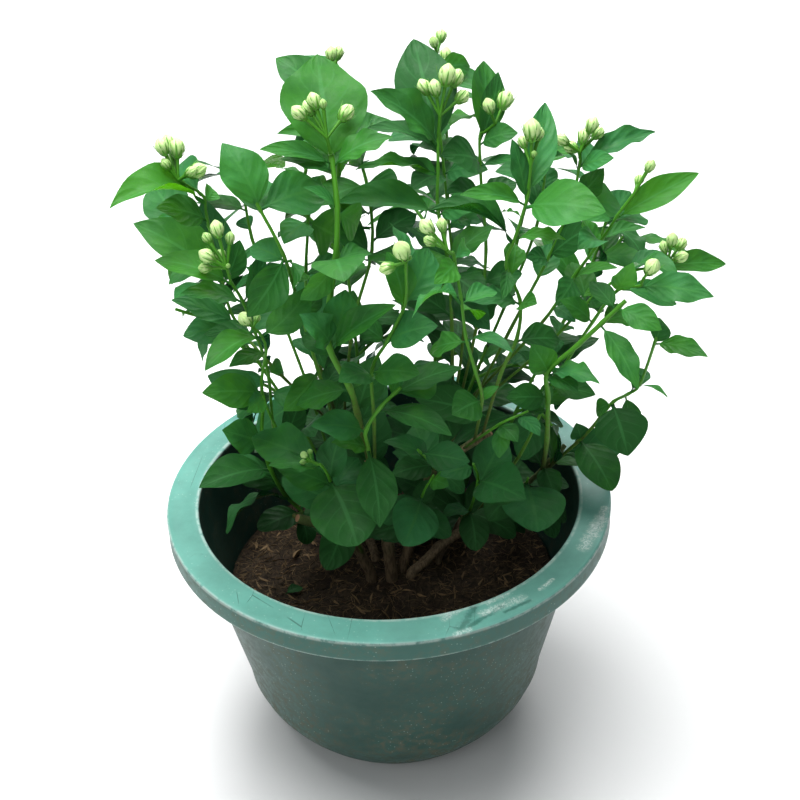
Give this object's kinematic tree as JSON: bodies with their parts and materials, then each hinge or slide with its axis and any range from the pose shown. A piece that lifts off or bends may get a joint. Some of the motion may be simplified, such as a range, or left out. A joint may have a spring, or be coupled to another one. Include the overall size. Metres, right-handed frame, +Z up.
{
  "type": "potted arabian jasmine",
  "caption": "Bushy arabian jasmine with clusters of closed pale buds, growing in a low round green plastic pot with a wide turned-down rim.",
  "frame": {"origin": "middle of the pot's foot, on the ground", "axes": "+Z up along the pot's axis, -Y towards the pictured front of the plant, +X to the right in that view"},
  "size_m": [0.332, 0.2931, 0.4661],
  "materials": {
    "green_plastic": "satin, worn and dusty",
    "potting_soil": "matte, fibrous",
    "bark": "matte",
    "leaf": "glossy upper side",
    "bud": "satin"
  },
  "bodies": {
    "root": {"buds_back": "bud", "buds_far_left_top": "bud", "buds_front_left": "bud", "buds_inner": "bud", "buds_left_crest": "bud", "buds_left_low": "bud", "buds_left_mid": "bud", "buds_left_top": "bud", "buds_left_wall": "bud", "buds_long": "bud", "buds_right_back": "bud", "buds_right_inner": "bud", "buds_right_side": "bud", "buds_right_tip": "bud", "buds_right_upper": "bud", "buds_top_back": "bud", "buds_top_middle": "bud", "buds_top_right": "bud", "pot": "green_plastic", "shoot_back_1": "leaf", "shoot_back_2": "leaf", "shoot_back_3": "leaf", "shoot_back_4": "leaf", "shoot_back_5": "leaf", "shoot_back_6": "leaf", "shoot_centre": "leaf", "shoot_centre_left": "leaf", "shoot_centre_right": "leaf", "shoot_front_left": "leaf", "shoot_front_low": "leaf", "shoot_inner": "leaf", "shoot_left_base": "leaf", "shoot_left_crest": "leaf", "shoot_left_inner": "leaf", "shoot_left_low": "leaf", "shoot_left_mid": "leaf", "shoot_left_wall": "leaf", "shoot_long": "leaf", "shoot_low_right": "leaf", "shoot_middle": "leaf", "shoot_pot_right": "leaf", "shoot_right_back": "leaf", "shoot_right_inner": "leaf", "shoot_right_low": "leaf", "shoot_right_side": "leaf", "shoot_right_tall": "leaf", "shoot_right_tip": "leaf", "shoot_right_upper": "leaf", "shoot_top_back": "leaf", "shoot_top_left": "leaf", "shoot_top_middle": "leaf", "shoot_top_right": "leaf", "soil": "potting_soil", "wood_back_left": "bark", "wood_back_right": "bark", "wood_centre": "bark", "wood_left": "bark", "wood_middle": "bark", "wood_right": "bark", "wood_thin": "bark"}
  },
  "joints": []
}
